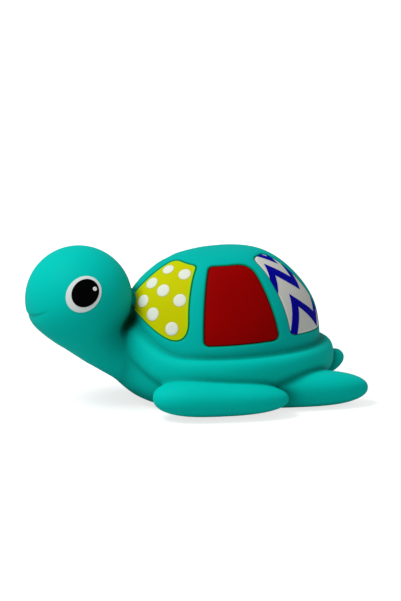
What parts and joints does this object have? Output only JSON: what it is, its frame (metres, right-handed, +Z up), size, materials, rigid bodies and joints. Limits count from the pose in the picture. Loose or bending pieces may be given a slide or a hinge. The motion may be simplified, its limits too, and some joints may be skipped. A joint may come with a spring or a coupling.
{
  "type": "squeaky bath toy",
  "caption": "Soft vinyl sea turtle that floats and squeaks: a domed shell with inlaid colour panels gives way when squeezed and drives air through a reed in the belly.",
  "frame": {"origin": "on the ground, under the middle of the toy's length and width", "axes": "+Y from the beak to the hind flippers, +X towards the turtle's left side, +Z up from the belly to the top of the shell"},
  "size_m": [0.0948, 0.1287, 0.0619],
  "materials": {
    "vinyl": "soft matte vinyl",
    "yellow_vinyl": "soft matte vinyl",
    "red_vinyl": "soft matte vinyl",
    "white_vinyl": "soft matte vinyl",
    "blue_vinyl": "soft matte vinyl",
    "black_vinyl": "soft matte vinyl",
    "squeaker_plastic": "moulded, satin",
    "reed_brass": "rolled foil"
  },
  "bodies": {
    "toy_base": {"belly_pan": "vinyl", "shell_rim": "vinyl", "head": "vinyl", "tail": "vinyl", "front_flipper_left": "vinyl", "front_flipper_right": "vinyl", "hind_flipper_left": "vinyl", "hind_flipper_right": "vinyl", "eye_white_left": "white_vinyl", "eye_white_right": "white_vinyl", "pupil_left": "black_vinyl", "pupil_right": "black_vinyl", "catchlight_left": "white_vinyl", "catchlight_right": "white_vinyl", "squeaker_cup": "squeaker_plastic", "reed_block": "squeaker_plastic", "squeaker_cap": "squeaker_plastic"},
    "shell": {"shell_dome": "vinyl", "yellow_panel_left": "yellow_vinyl", "yellow_panel_right": "yellow_vinyl", "dots_left": "white_vinyl", "dots_right": "white_vinyl", "red_panel_left": "red_vinyl", "red_panel_right": "red_vinyl", "white_panel_left": "white_vinyl", "white_panel_right": "white_vinyl", "zigzags_left": "blue_vinyl", "zigzags_right": "blue_vinyl"},
    "reed_tongue": {"reed": "reed_brass"}
  },
  "joints": [
    {"name": "shell_squeeze", "type": "slide", "parent": "toy_base", "child": "shell", "axis": [0, 0, -1], "range_m": [0, 0.006], "stiffness_N_per_m": 1500, "springref_m": -0.0005},
    {"name": "reed_flex", "type": "hinge", "parent": "toy_base", "child": "reed_tongue", "pos_m": [0, 0.01245, 0.0081], "axis": [1, 0, 0], "range_deg": [-1, 4], "stiffness_Nm_per_rad": 0.01}
  ]
}
